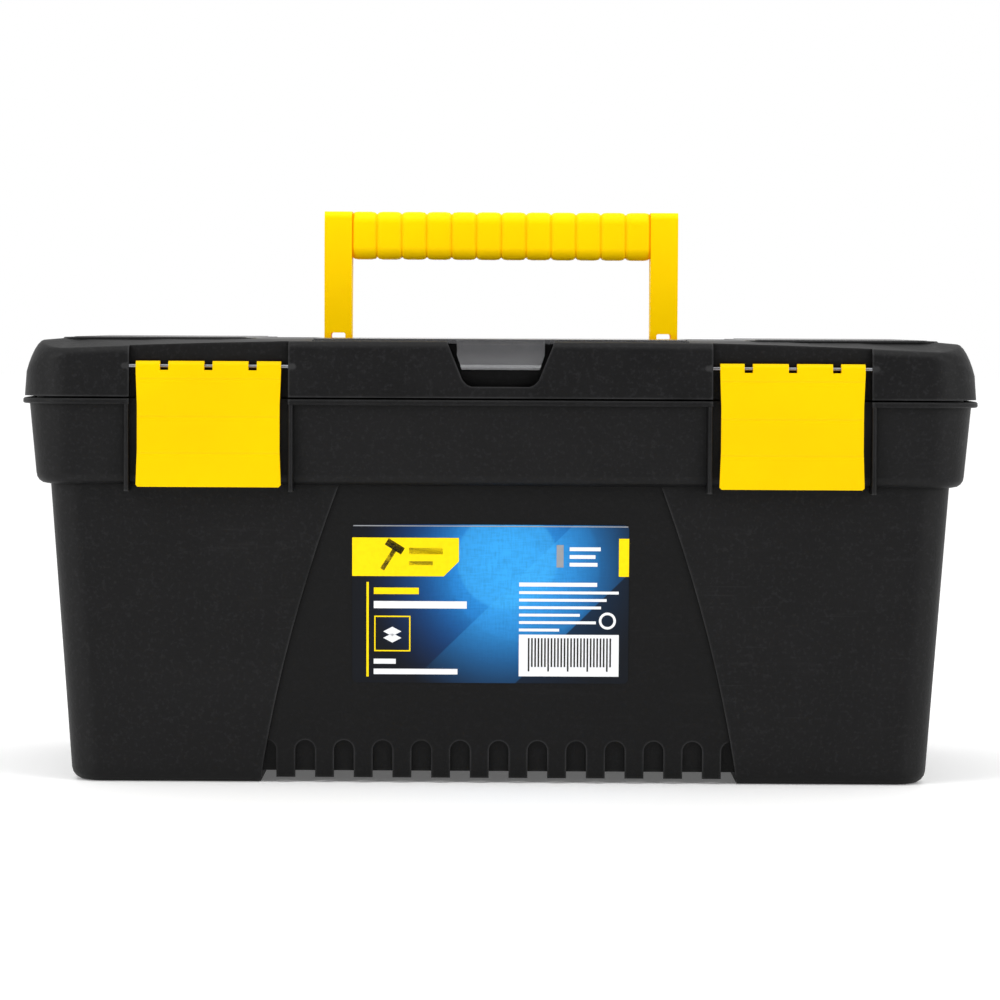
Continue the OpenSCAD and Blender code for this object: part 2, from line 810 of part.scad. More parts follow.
module latch_pin() {
    reach = pocket_half + pin_hold;
    color(steel) rod(latch_pin_r, -reach, reach, latch_pin_y, latch_pin_z);
}

module hinge_pin() {
    color(steel) rod(hinge_pin_r, -hinge_w / 2, hinge_w / 2, hinge_y, hinge_z);
}

module latch_left() {
    translate([-latch_x, 0, 0]) latch();
}

module latch_right() {
    translate([latch_x, 0, 0]) latch();
}

module latch_pin_left() {
    translate([-latch_x, 0, 0]) latch_pin();
}

module latch_pin_right() {
    translate([latch_x, 0, 0]) latch_pin();
}

module hinge_pin_left() {
    translate([-hinge_x, 0, 0]) hinge_pin();
}

module hinge_pin_right() {
    translate([hinge_x, 0, 0]) hinge_pin();
}

// ---- tray ----

module tray() {
    outer_x = half_w - tray_in;
    outer_y = half_d - tray_in;
    in_x = outer_x - tray_wall;
    in_y = outer_y - tray_wall;
    top = tray_z + tray_h;
    half_t = tray_wall / 2;
    split = tray_split - half_t;
    grip_half = tray_grip_w / 2;
    color(black) difference() {
        union() {
            difference() {
                loft([
                    ring(0, mid_y, outer_x - 1, outer_y - 1, tray_r - 1, tray_z),
                    ring(0, mid_y, outer_x, outer_y, tray_r, tray_z + 1),
                    ring(0, mid_y, outer_x, outer_y, tray_r, top)
                ]);
                translate([0, 0, tray_z + tray_wall]) linear_extrude(tray_h) intersection() {
                    rounded(-in_x, in_x, mid_y - in_y, mid_y + in_y, tray_r - tray_wall);
                    union() {
                        rounded(-far / 2, far / 2, mid_y + half_t, far / 2, 3);
                        rounded(-far / 2, -tray_split - half_t, -far / 2, mid_y - half_t, 3);
                        rounded(-split, split, -far / 2, mid_y - half_t, 3);
                        rounded(tray_split + half_t, far / 2, -far / 2, mid_y - half_t, 3);
                    }
                }
            }
            // Carry grip on the long wall
            along_y(mid_y - tray_grip_t / 2, mid_y + tray_grip_t / 2)
                rounded(-grip_half, grip_half, tray_z + half_t, tray_grip_top, 4);
        }
        along_y(mid_y - tray_grip_t, mid_y + tray_grip_t)
            rounded(-grip_half + 8, grip_half - 8, tray_z + tray_wall + 1,
                tray_grip_top - tray_bar_h, 4);
    }
}

// ---- label ----

module label() {
    panel_y = front_y + low_in + lean(label_up) + panel_sink;
    color("#20262e") translate([-label_left, panel_y - label_lift, label_up]) rotate([panel_lean, 0, 0])
        along_y(-label_t, 0) rounded(-label_w / 2, label_w / 2, 0, label_h, 2);
}

tub();
lid();
organizer_cover();
carry_handle();
latch_left();
latch_right();
latch_pin_left();
latch_pin_right();
hinge_pin_left();
hinge_pin_right();
tray();
label();
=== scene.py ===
import math

import bmesh
import bpy
from mathutils import Matrix, Vector


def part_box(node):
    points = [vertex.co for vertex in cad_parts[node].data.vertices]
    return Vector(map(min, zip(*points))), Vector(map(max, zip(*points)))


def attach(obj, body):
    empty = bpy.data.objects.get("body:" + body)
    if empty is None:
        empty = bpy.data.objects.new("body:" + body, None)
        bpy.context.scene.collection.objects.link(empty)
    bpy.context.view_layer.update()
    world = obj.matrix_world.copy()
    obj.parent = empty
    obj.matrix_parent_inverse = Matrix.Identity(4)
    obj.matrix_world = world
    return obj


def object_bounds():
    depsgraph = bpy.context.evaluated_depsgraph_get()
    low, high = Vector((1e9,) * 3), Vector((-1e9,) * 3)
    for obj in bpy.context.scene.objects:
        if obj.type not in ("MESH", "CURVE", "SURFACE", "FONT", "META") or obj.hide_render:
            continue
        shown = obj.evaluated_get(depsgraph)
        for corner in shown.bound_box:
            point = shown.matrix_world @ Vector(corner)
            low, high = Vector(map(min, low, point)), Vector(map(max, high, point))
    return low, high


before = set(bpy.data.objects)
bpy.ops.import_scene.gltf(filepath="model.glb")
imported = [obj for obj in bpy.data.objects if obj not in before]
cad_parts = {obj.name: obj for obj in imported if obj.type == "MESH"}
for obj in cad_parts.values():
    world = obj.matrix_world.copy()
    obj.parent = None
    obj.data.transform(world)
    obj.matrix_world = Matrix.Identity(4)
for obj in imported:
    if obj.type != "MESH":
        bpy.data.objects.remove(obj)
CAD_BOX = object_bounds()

bl_info = {
    "name": "Toolbox with Tray",
    "version": (1, 0, 0),
    "blender": (4, 5, 0),
    "location": "3D View > Sidebar > Toolbox",
    "description": "Finishes the moulded toolbox and sets its studio",
    "category": "Object",
}

MM = 0.001
ACCENT_NODES = ("carry_handle", "latch_left", "latch_right")
PIN_NODES = ("latch_pin_left", "latch_pin_right", "hinge_pin_left", "hinge_pin_right")

# Edges: what is welded, what counts as flat, and how the rest is rounded
WELD_REACH = 0.004 * MM
FLAT_ANGLE = math.radians(0.4)
EDGE_ANGLE = math.radians(28)
EDGE_SEGMENTS = 2
NORMAL_WEIGHT = 60
COVER_EDGE = 0.3 * MM
PIN_EDGE = 0.2 * MM

# Rays that look for creases and ridges, where shade and highlights are painted
AIR_SAMPLES = 8

# Black plastic: tones of its scuffs, of its painted edge highlights and of its painted crease shade,
# and how much paler the lid and the tray are
SCUFF_TONE = (0.024, 0.024, 0.025, 1)
EDGE_HIGHLIGHT_TONE = (0.04, 0.04, 0.041, 1)
CREASE_SHADE_TONE = (0.0003, 0.0003, 0.0003, 1)
LID_SHADE = 1.15
TRAY_SHADE = 1.35

# The tub's sunk panels, which get painted shade, narrow as they rise, along a slightly bowed edge
PANEL_TALL = 119.4 * MM
PANEL_HALF = 95.3 * MM
PANEL_NARROWING = 31.3 * MM
PANEL_BOW = 13.2 * MM

# Yellow plastic: shades of red, green and blue, the handle's painted glow, and heights of the lines
# across a latch
HANDLE_SHADE = (1.0, 0.9, 1.0)
HANDLE_PAINTED_GLOW = 0.13
LATCH_SHADE = (0.86, 0.78, 1.0)
LATCH_MARKS = (0.26, 0.55, 0.85)

# Clear plastic: a painted highlight line above the tab's lower lip, and where the tab starts to be
# painted darker
HIGHLIGHT_LINE_UP = 1.3 * MM
HIGHLIGHT_LINE_HALF = 0.3 * MM
HIGHLIGHT_LINE_FADE = 0.8 * MM
DARKENING_LOW = 2.0 * MM
DARKENING_HIGH = 8.5 * MM

# Label print, from its lower left corner: where the two columns of text begin
TEXT_LEFT = 8.6
SMALL_PRINT_LEFT = 66.4
INK_THICK = 0.05 * MM
STROKE_THICK = 0.09 * MM

# Studio
AIM_POINT = (0.0, 0.0, 0.12)
LAMPS = (
    ("key", (-1.5, -1.3, 1.0), (0.9, 1.1), 15.0),
    ("fill", (1.5, -1.3, 0.9), (0.9, 1.1), 12.0),
    ("top", (0.0, -0.5, 1.5), (1.8, 0.8), 7.0),
)
FLOOR_HALF = 12.0
FLAG_PLACE = (0.0, -1.95, 0.85)
FLAG_HALF = (1.3, 0.85)


# ---- node helpers ----


class Sock:
    """A number socket that arithmetic turns into Math nodes."""

    def __init__(self, finish, socket):
        self.finish = finish
        self.socket = socket

    def _math(self, operation, *values):
        inputs = {i: v for i, v in enumerate(values)}
        made = self.finish.node("ShaderNodeMath", {"operation": operation}, inputs)
        return Sock(self.finish, made.outputs[0])

    def __add__(self, other):
        return self._math("ADD", self, other)

    __radd__ = __add__

    def __sub__(self, other):
        return self._math("SUBTRACT", self, other)

    def __rsub__(self, other):
        return self._math("SUBTRACT", other, self)

    def __mul__(self, other):
        return self._math("MULTIPLY", self, other)

    __rmul__ = __mul__

    def __truediv__(self, other):
        return self._math("DIVIDE", self, other)

    def __pow__(self, other):
        return self._math("POWER", self, other)

    def __gt__(self, other):
        return self._math("GREATER_THAN", self, other)

    def __lt__(self, other):
        return self._math("LESS_THAN", self, other)

    def __abs__(self):
        return self._math("ABSOLUTE", self)

    def sqrt(self):
        return self._math("SQRT", self)

    def clamp(self):
        return self._math("MINIMUM", self._math("MAXIMUM", self, 0.0), 1.0)

    def step(self, low, high):
        """0 below low and 1 above high, smooth between."""
        settings = {"interpolation_type": "SMOOTHSTEP"}
        inputs = {"Value": self, "From Min": low, "From Max": high}
        made = self.finish.node("ShaderNodeMapRange", settings, inputs)
        return Sock(self.finish, made.outputs[0])


class Finish:
    """One material and the nodes that make it."""

    def __init__(self, name, **constants):
        self.material = bpy.data.materials.new(name)
        self.material.use_nodes = True
        self.tree = self.material.node_tree
        self.shader = next(n for n in self.tree.nodes if n.type == "BSDF_PRINCIPLED")
        for socket, value in constants.items():
            self.shader.inputs[socket.replace("_", " ")].default_value = value
        place = self.node("ShaderNodeTexCoord")
        self.place = place.outputs["Object"]
        parts = self.node("ShaderNodeSeparateXYZ", None, {0: self.place})
        self.x, self.y, self.z = (Sock(self, parts.outputs[i]) for i in range(3))

    def node(self, kind, settings=None, inputs=None):
        """A node of any type: settings first, then the values or links of its sockets."""
        made = self.tree.nodes.new(kind)
        for key, value in (settings or {}).items():
            setattr(made, key, value)
        for key, value in (inputs or {}).items():
            target = made.inputs[key]
            if isinstance(value, Sock):
                self.tree.links.new(value.socket, target)
            elif isinstance(value, bpy.types.NodeSocket):
                self.tree.links.new(value, target)
            else:
                target.default_value = value
        return made

    def feed(self, socket, value):
        """Links a number, a colour or a normal to one of the shader's sockets."""
        source = value.socket if isinstance(value, Sock) else value
        self.tree.links.new(source, self.shader.inputs[socket])

    def stretched(self, sx, sy, sz):
        """The object's own coordinates, scaled along each axis."""
        inputs = {0: self.place, 1: (sx, sy, sz)}
        return self.node("ShaderNodeVectorMath", {"operation": "MULTIPLY"}, inputs).outputs[0]

    def noise(self, scale, detail=2.0, rough=0.5, vector=None):
        inputs = {"Vector": vector or self.place, "Scale": scale, "Detail": detail, "Roughness": rough}
        return Sock(self, self.node("ShaderNodeTexNoise", None, inputs).outputs["Fac"])

    def cells(self, scale):
        """Distance to the nearest of many rounded cells."""
        inputs = {"Vector": self.place, "Scale": scale}
        made = self.node("ShaderNodeTexVoronoi", {"feature": "SMOOTH_F1"}, inputs)
        return Sock(self, made.outputs["Distance"])

    def open_air(self, reach, inside=False):
        """1 on open faces, towards 0 in a crease, or at a ridge when looked at from inside."""
        settings = {"inside": inside, "samples": AIR_SAMPLES}
        made = self.node("ShaderNodeAmbientOcclusion", settings, {"Distance": reach})
        return Sock(self, made.outputs["AO"])

    def mix(self, factor, a, b):
        """A colour between a and b."""
        made = self.node("ShaderNodeMix", {"data_type": "RGBA"}, {0: factor, 6: a, 7: b})
        return made.outputs[2]

    def bump(self, height, distance, strength, normal=None):
        inputs = {"Height": height, "Distance": distance, "Strength": strength}
        if normal is not None:
            inputs["Normal"] = normal
        return self.node("ShaderNodeBump", None, inputs).outputs[0]


def rgba(colour):
    """Three numbers as an opaque colour, none above 1."""
    return (*(min(1.0, c) for c in tuple(colour)[:3]), 1.0)


def shade(colour, *factors):
    """A colour with its red, green and blue each scaled, or all by one factor."""
    if len(factors) == 1:
        factors = factors * 3
    return rgba(c * factor for c, factor in zip(colour, factors))


def dress(name, material):
    """Gives a CAD node one material."""
    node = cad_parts[name]
    while len(node.material_slots) == 0:
        node.data.materials.append(material)
    for place in node.material_slots:
        place.link = "OBJECT"
        place.material = material


def soften(name, width):
    """Rounds a CAD node's hard edges and smooths its curved faces."""
    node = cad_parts[name]
    weld = node.modifiers.new("Weld", "WELD")
    weld.merge_threshold = WELD_REACH
    flat = node.modifiers.new("Flats", "DECIMATE")
    flat.decimate_type = "DISSOLVE"
    flat.angle_limit = FLAT_ANGLE
    round_over = node.modifiers.new("Edges", "BEVEL")
    round_over.width = width
    round_over.segments = EDGE_SEGMENTS
    round_over.limit_method = "ANGLE"
    round_over.angle_limit = EDGE_ANGLE
    round_over.use_clamp_overlap = True
    round_over.harden_normals = False
    normals = node.modifiers.new("Normals", "WEIGHTED_NORMAL")
    normals.mode = "FACE_AREA"
    normals.weight = NORMAL_WEIGHT
    normals.keep_sharp = False


# ---- settings ----


class ToolboxShellSettings(bpy.types.PropertyGroup):
    colour: bpy.props.FloatVectorProperty(
        name="Colour", description="Colour of the moulded body", subtype="COLOR",
        default=(0.0026, 0.0026, 0.0028), min=0, max=1,
    )
    grain: bpy.props.FloatProperty(
        name="Grain", description="Depth of the moulded grain", subtype="DISTANCE", unit="LENGTH",
        default=0.00009, min=0, max=0.0005, precision=5,
    )
    edge: bpy.props.FloatProperty(
        name="Edge radius", description="Radius of the moulded edges", subtype="DISTANCE",
        unit="LENGTH", default=0.0005, min=0, max=0.002, precision=4,
    )


class ToolboxAccentSettings(bpy.types.PropertyGroup):
    colour: bpy.props.FloatVectorProperty(
        name="Colour", description="Colour of the handle and the latches", subtype="COLOR",
        default=(1.0, 0.71, 0.0), min=0, max=1,
    )
    edge: bpy.props.FloatProperty(
        name="Edge radius", description="Radius of the moulded edges", subtype="DISTANCE",
        unit="LENGTH", default=0.0005, min=0, max=0.002, precision=4,
    )


class ToolboxCoverSettings(bpy.types.PropertyGroup):
    colour: bpy.props.FloatVectorProperty(
        name="Tint", description="Tint of the clear cover", subtype="COLOR",
        default=(0.3, 0.3, 0.31), min=0, max=1,
    )
    clearness: bpy.props.FloatProperty(
        name="Clearness", description="Share of the light that passes", subtype="FACTOR",
        default=0.72, min=0, max=1,
    )


class ToolboxStageSettings(bpy.types.PropertyGroup):
    distance: bpy.props.FloatProperty(
        name="Camera distance", description="From the front of the box", subtype="DISTANCE",
        unit="LENGTH", default=1.6, min=0.5, max=5,
    )
    height: bpy.props.FloatProperty(
        name="Camera height", description="Above the table", subtype="DISTANCE", unit="LENGTH",
        default=0.184, min=0, max=2,
    )
    roll: bpy.props.FloatProperty(
        name="Camera roll", description="Tilt of the horizon", subtype="ANGLE",
        default=math.radians(0.3), min=-0.2, max=0.2,
    )


# ---- finishes ----


def moulded_black(name, colour, grain, top=1.0, panel=None):
    """Matte black plastic with a spark-eroded grain, faint flow clouds and handling scuffs.

    Faces at the height top are polished, and panel gives the mask of the sunk panels, which get
    painted shade.
    """
    f = Finish(name, IOR=1.49, Specular_IOR_Level=0.19)
    cloud = f.noise(9.0, 3.0)
    patch = f.noise(38.0, 4.0, 0.6)
    speck = f.noise(620.0, 3.0, 0.65)
    scuff = f.noise(60.0, 5.0, 0.7, f.stretched(0.35, 1.0, 2.6))
    scratches = f.noise(900.0, 2.0, 0.5, f.stretched(0.03, 1.0, 1.0)).step(0.66, 0.74)
    worn = (scuff.step(0.56, 0.78) * cloud.step(0.45, 0.6)).clamp()
    lighter = rgba(c * 1.7 + 0.001 for c in colour)
    base = f.mix(patch.step(0.35, 0.75) * 0.45, rgba(colour), lighter)
    base = f.mix(speck.step(0.5, 0.7) * 0.6, base, shade(colour, 4.6))
    base = f.mix(worn * 0.3 + scratches * cloud.step(0.5, 0.62) * 0.2, base, SCUFF_TONE)
    # Painted shade: the sunk panels are darker, as a recess in shadow
    if panel:
        base = f.mix(panel(f) * 0.6, base, shade(colour, 0.3))
    # Painted highlight: edges are lighter, as if they caught the light, and painted shade darkens the
    # creases
    ridge = 1.0 - f.open_air(0.0012, True).step(0.5, 0.92)
    base = f.mix(ridge * 0.6 * patch.step(0.2, 0.6), base, EDGE_HIGHLIGHT_TONE)
    # Painted shade: ambient occlusion darkens the creases
    crease = f.open_air(0.0022).step(0.35, 0.95) * f.open_air(0.012).step(0.2, 0.95)
    base = f.mix(crease, CREASE_SHADE_TONE, base)
    f.feed("Base Color", base)
    polished = f.z.step(top - 0.9 * MM, top - 0.1 * MM)
    rough = 0.46 + patch * 0.1 - worn * 0.08 + (cloud - 0.5) * 0.12
    f.feed("Roughness", rough - polished * 0.22)
    pores = f.cells(760.0)
    fine = f.noise(1500.0, 2.0)
    height = pores * 0.8 + fine * 0.6
    skin = f.bump(height, grain, 0.9)
    f.feed("Normal", f.bump(f.noise(14.0, 1.0), 0.0004, 0.3, skin))
    return f.material


def sunk_panel_shade(f):
    """1 on the tub's sunk front and back panels, where painted shade darkens the recess."""
    t = f.z / PANEL_TALL
    half = PANEL_HALF - t * PANEL_NARROWING + t * (1.0 - t) * PANEL_BOW
    return (half > abs(f.x)) * (f.z < PANEL_TALL)


def moulded_yellow(name, colour, marks=(), glow=0.0):
    """Satin yellow plastic.

    marks are the heights of faint moulding lines across it, and glow is the strength of a painted glow
    it gives off though it is no lamp.
    """
    f = Finish(
        name, IOR=1.5, Specular_IOR_Level=0.05, Emission_Strength=glow,
        Subsurface_Weight=0.06, Subsurface_Radius=(0.004, 0.002, 0.0004),
    )
    cloud = f.noise(22.0, 3.0)
    grime = f.noise(75.0, 5.0, 0.65)
    deep = shade(colour, 0.93, 0.86, 1.0)
    shaded_orange = shade(colour, 0.9, 0.55, 1.0)
    base = f.mix(cloud.step(0.35, 0.7) * 0.4, rgba(colour), deep)
    base = f.mix(grime.step(0.62, 0.8) * 0.06, base, (0.45, 0.25, 0.02, 1))
    # Painted shade: creases turn darker and more orange
    crease = 1.0 - f.open_air(0.005).step(0.45, 0.95)
    base = f.mix(crease * 0.55, base, shaded_orange)
    f.feed("Base Color", base)
    # Painted glow: the plastic gives off light in its own base colour, though it is no lamp
    f.feed("Emission Color", base)
    f.feed("Roughness", 0.34 + grime * 0.14 + (cloud - 0.5) * 0.1)
    height = f.noise(1800.0, 2.0) * 0.5 + f.cells(900.0) * 0.5
    skin = f.bump(height, 0.000012, 0.8)
    for mark in marks:
        line = abs(f.z - mark).step(0.0, 0.9 * MM)
        skin = f.bump(line, 0.22 * MM, 0.7, skin)
    f.feed("Normal", f.bump(f.noise(30.0, 1.0), 0.0003, 0.35, skin))
    return f.material


def clear_plastic(name, tint, clearness, lip):
    """Smoky clear plastic with faint haze, hairline scratches, a painted highlight line above its
    lower lip and a tone painted darker from just above the lip upwards.
    """
    f = Finish(name, IOR=1.46, Transmission_Weight=clearness)
    haze = f.noise(26.0, 3.0, 0.5)
    hair = f.noise(700.0, 2.0, 0.5, f.stretched(1.0, 0.05, 1.0)).step(0.74, 0.8)
    pale = rgba(c * 1.9 + 0.05 for c in tint)
    base = f.mix(haze.step(0.3, 0.8) * 0.25, rgba(tint), pale)
    # Painted highlight: a light line just above the lower lip
    line = 1.0 - abs(f.z - (lip + HIGHLIGHT_LINE_UP)).step(HIGHLIGHT_LINE_HALF, HIGHLIGHT_LINE_FADE)
    # Darker upwards, from just above the lip
    upper_darkening = f.z.step(lip + DARKENING_LOW, lip + DARKENING_HIGH)
    base = f.mix(upper_darkening * 0.45, base, shade(tint, 0.4))
    f.feed("Base Color", f.mix(line * 0.8, base, (0.72, 0.73, 0.74, 1)))
    f.feed("Roughness", 0.1 + haze * 0.06 + hair * 0.04)
    f.feed("Normal", f.bump(f.noise(18.0, 1.0), 0.0002, 0.1))
    return f.material


def drawn_steel(name):
    """Bright drawn wire with lengthwise draw lines."""
    f = Finish(name, Metallic=1.0)
    lines = f.noise(2200.0, 3.0, 0.6, f.stretched(0.02, 1.0, 1.0))
    spots = f.noise(160.0, 4.0, 0.6)
    f.feed("Base Color", f.mix(spots.step(0.5, 0.8), (0.3, 0.31, 0.33, 1), (0.16, 0.15, 0.15, 1)))
    f.feed("Roughness", 0.24 + lines * 0.16 + spots * 0.1)
    f.feed("Normal", f.bump(lines, 0.00001, 0.6))
    return f.material


def label_film(name, low, high):
    """Printed film: dark ground, a soft blue glow with a pale ball, and lighter slanting bands."""
    f = Finish(name, IOR=1.5, Specular_IOR_Level=0.14)
    width, height = high.x - low.x, high.z - low.z
    u = (f.x - low.x) / width
    v = (f.z - low.z) / height
    aspect = width / height
    du = (u - 0.56) * aspect
    dv = v - 0.74
    far = (du * du + dv * dv).sqrt()
    glow = 1.0 - far.step(0.05, 0.95)
    ball_v = v - 0.78
    disc_u = (u - 0.62) * aspect
    ball = 1.0 - (du * du + ball_v * ball_v).sqrt().step(0.30, 0.325)
    disc = 1.0 - (disc_u * disc_u + dv * dv).sqrt().step(0.46, 0.49)
    slant = (u * aspect - v * 1.02 - 0.36).step(0.0, 0.012)
    weave = f.noise(1400.0, 2.0, 0.5, f.stretched(1.0, 1.0, 0.15)) * 0.5
    weave = weave + f.noise(1400.0, 2.0, 0.5, f.stretched(0.15, 1.0, 1.0)) * 0.5
    ground = f.mix(glow, (0.004, 0.005, 0.008, 1), (0.004, 0.085, 0.36, 1))
    ground = f.mix(glow ** 3.0, ground, (0.03, 0.36, 0.86, 1))
    ground = f.mix(ball * 0.35, ground, (0.07, 0.5, 0.92, 1))
    ground = f.mix(disc * glow * 0.3, ground, (0.02, 0.25, 0.7, 1))
    ground = f.mix(slant * glow * 0.4, ground, (0.05, 0.42, 0.9, 1))
    corner = (u * aspect - v * 1.02 - 1.02).step(0.0, 0.012)
    ground = f.mix(corner * 0.85, ground, (0.004, 0.006, 0.01, 1))
    ground = f.mix((weave - 0.42).clamp() * 0.9 * glow, ground, (0.0, 0.01, 0.03, 1))
    f.feed("Base Color", ground)
    f.feed("Roughness", 0.3 + f.noise(120.0, 3.0) * 0.12)
    f.feed("Normal", f.bump(f.noise(60.0, 1.0), 0.0002, 0.2))
    return f.material


def print_ink(name, colour):
    """Ink of the label's print, a little uneven."""
    f = Finish(name, IOR=1.5, Specular_IOR_Level=0.14)
    patch = f.noise(500.0, 3.0)
    f.feed("Base Color", f.mix(patch.step(0.4, 0.7) * 0.5, rgba(colour), shade(colour, 0.9)))
    f.feed("Roughness", 0.4 + patch * 0.08)
    return f.material


# ---- label print ----


class LabelPlane:
    """Maps millimetres on the label, from its lower left corner, to the part's frame."""

    THICK = 0.25 * MM
    LIFT = 0.02 * MM
    SLACK = 0.04

    def __init__(self):
        low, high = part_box("label")
        deep, tall = high.y - low.y, high.z - low.z
        lean = math.atan2(deep - self.THICK, tall)
        self.right = Vector((1, 0, 0))
        self.up = Vector((0, -math.sin(lean), math.cos(lean)))
        self.out = Vector((0, -math.cos(lean), -math.sin(lean)))
        self.corner = Vector((low.x, high.y, low.z + self.THICK * math.sin(lean)))
        self.width = (high.x - low.x) / MM
        self.height = (deep * math.sin(lean) + tall * math.cos(lean)) / MM - self.SLACK

    def point(self, u, v, above):
        """The place above one point of the film."""
        base = self.corner + self.out * (self.THICK + above)
        return base + self.right * (u * MM) + self.up * (v * MM)


def slab(mesh, plane, outline, ink, thick=INK_THICK):
    """One printed shape as a thin closed slab."""
    front = [mesh.verts.new(plane.point(u, v, LabelPlane.LIFT + thick)) for u, v in outline]
    back = [mesh.verts.new(plane.point(u, v, LabelPlane.LIFT)) for u, v in outline]
    faces = [mesh.faces.new(front), mesh.faces.new(back[::-1])]
    for i in range(len(outline)):
        j = (i + 1) % len(outline)
        faces.append(mesh.faces.new((front[j], front[i], back[i], back[j])))
    for face in faces:
        face.material_index = ink


def bar(u0, v0, u1, v1):
    """A rectangle between two corners."""
    return [(u0, v0), (u1, v0), (u1, v1), (u0, v1)]


def circle(u, v, radius, steps):
    """Points round a centre."""
    turn = [2 * math.pi * i / steps for i in range(steps)]
    return [(u + radius * math.cos(a), v + radius * math.sin(a)) for a in turn]


def turned(outline, centre, degrees):
    """An outline turned about a centre."""
    a = math.radians(degrees)
    cu, cv = centre
    return [
        (cu + (u - cu) * math.cos(a) - (v - cv) * math.sin(a),
         cv + (u - cu) * math.sin(a) + (v - cv) * math.cos(a))
        for u, v in outline
    ]


def label_shapes(plane):
    """Every printed shape as (outline, ink). Inks: 0 yellow, 1 white, 2 dark, 3 grey."""
    w, h = plane.width, plane.height
    shapes = [
        ([(0, 42.8), (36.4, 42.8), (42.4, 48.8), (42.4, 58.2), (0, 58.2)], 0),
        (bar(w - 4.0, 43.0, w, 58.2), 0),
        (bar(5.7, 2.4, 6.6, 40.4), 0),
        (bar(0.4, h - 0.75, w - 0.4, h - 0.35), 3),
    ]
    # A plain hammer on the yellow block
    centre = (15.0, 50.5)
    shapes.append((turned(bar(14.1, 44.6, 15.9, 54.2), centre, -32), 2))
    shapes.append((turned(bar(10.6, 53.6, 18.2, 56.6), centre, -32), 2))
    # Two plain bars beside it
    shapes += [(bar(22.6, 51.6, 36.0, 54.2), 2), (bar(22.6, 47.2, 32.0, 48.8), 2)]
    # Text stands as plain bars of uneven length
    shapes += [(bar(TEXT_LEFT, 35.6, 26.5, 38.2), 0), (bar(TEXT_LEFT, 29.9, 45.6, 32.8), 1)]
    # A framed picture of stacked sheets
    for edge in (bar(8.8, 12.6, 23.2, 13.1), bar(8.8, 26.4, 23.2, 26.9),
                 bar(8.8, 13.1, 9.3, 26.4), bar(22.7, 13.1, 23.2, 26.4)):
        shapes.append((edge, 0))
    for rise in (0.0, 2.6):
        v = 18.0 + rise
        shapes.append(([(12.4, v), (16.0, v - 1.9), (19.6, v), (16.0, v + 1.9)], 1))
    shapes += [(bar(TEXT_LEFT, 7.6, 17.4, 9.6), 1), (bar(TEXT_LEFT, 3.4, 42.0, 5.6), 1)]
    # Small print at the right
    for i, length in enumerate((15.0, 12.5, 13.5)):
        v = 53.2 - 3.1 * i
        shapes.append((bar(86.4, v, 86.4 + length * 0.82, v + 1.5), 1))
    shapes.append((bar(81.2, 46.6, 84.0, 55.6), 3))
    for i, length in enumerate((31.0, 39.6, 34.8, 32.6, 24.2, 30.6, 16.0)):
        v = 38.9 - 3.0 * i
        tall = 1.6 if i == 0 else 1.1
        shapes.append((bar(SMALL_PRINT_LEFT, v, SMALL_PRINT_LEFT + length, v + tall), 1))
    # White field with even strokes
    shapes.append((bar(SMALL_PRINT_LEFT, 2.8, 106.2, 19.6), 1))
    return shapes


def label_strokes():
    """Even dark strokes on the white field, which read as nothing."""
    first, pitch, width, count = 70.0, 1.3, 0.65, 26
    strokes = []
    for i in range(count):
        left = first + pitch * i
        foot = 6.6 if i % 6 else 4.8
        strokes.append(bar(left, foot, left + width, 18.2))
    return strokes


def label_ring(mesh, plane, u, v, outer, inner, ink, steps=28):
    """A closed ring of print."""
    corners = []
    for radius in (outer, inner):
        for above in (LabelPlane.LIFT + INK_THICK, LabelPlane.LIFT):
            loop = [mesh.verts.new(plane.point(a, b, above)) for a, b in circle(u, v, radius, steps)]
            corners.append(loop)
    out_top, out_low, in_top, in_low = corners
    for i in range(steps):
        j = (i + 1) % steps
        for quad in (
            (out_top[i], out_top[j], in_top[j], in_top[i]),
            (out_low[j], out_low[i], in_low[i], in_low[j]),
            (out_top[j], out_top[i], out_low[i], out_low[j]),
            (in_top[i], in_top[j], in_low[j], in_low[i]),
        ):
            mesh.faces.new(quad).material_index = ink


def make_object(name, mesh, materials):
    """A new object from a bmesh, with its materials."""
    bmesh.ops.recalc_face_normals(mesh, faces=mesh.faces)
    data = bpy.data.meshes.new(name)
    mesh.to_mesh(data)
    mesh.free()
    for material in materials:
        data.materials.append(material)
    made = bpy.data.objects.new(name, data)
    bpy.context.scene.collection.objects.link(made)
    return made


# ---- operators ----


class TOOLBOX_OT_shell(bpy.types.Operator):
    """Give the tub, the lid and the tray their moulded black plastic"""

    bl_idname = "toolbox.shell"
    bl_label = "Finish the body"

    def execute(self, context):
        settings = context.scene.toolbox_shell
        colour, grain = settings.colour, settings.grain
        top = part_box("lid")[1].z
        finishes = {
            "tub": moulded_black("tub_black", colour, grain, panel=sunk_panel_shade),
            "lid": moulded_black("lid_black", shade(colour, LID_SHADE)[:3], grain, top),
            "tray": moulded_black("tray_black", shade(colour, TRAY_SHADE)[:3], grain),
        }
        for name, finish in finishes.items():
            soften(name, settings.edge)
            dress(name, finish)
        return {"FINISHED"}


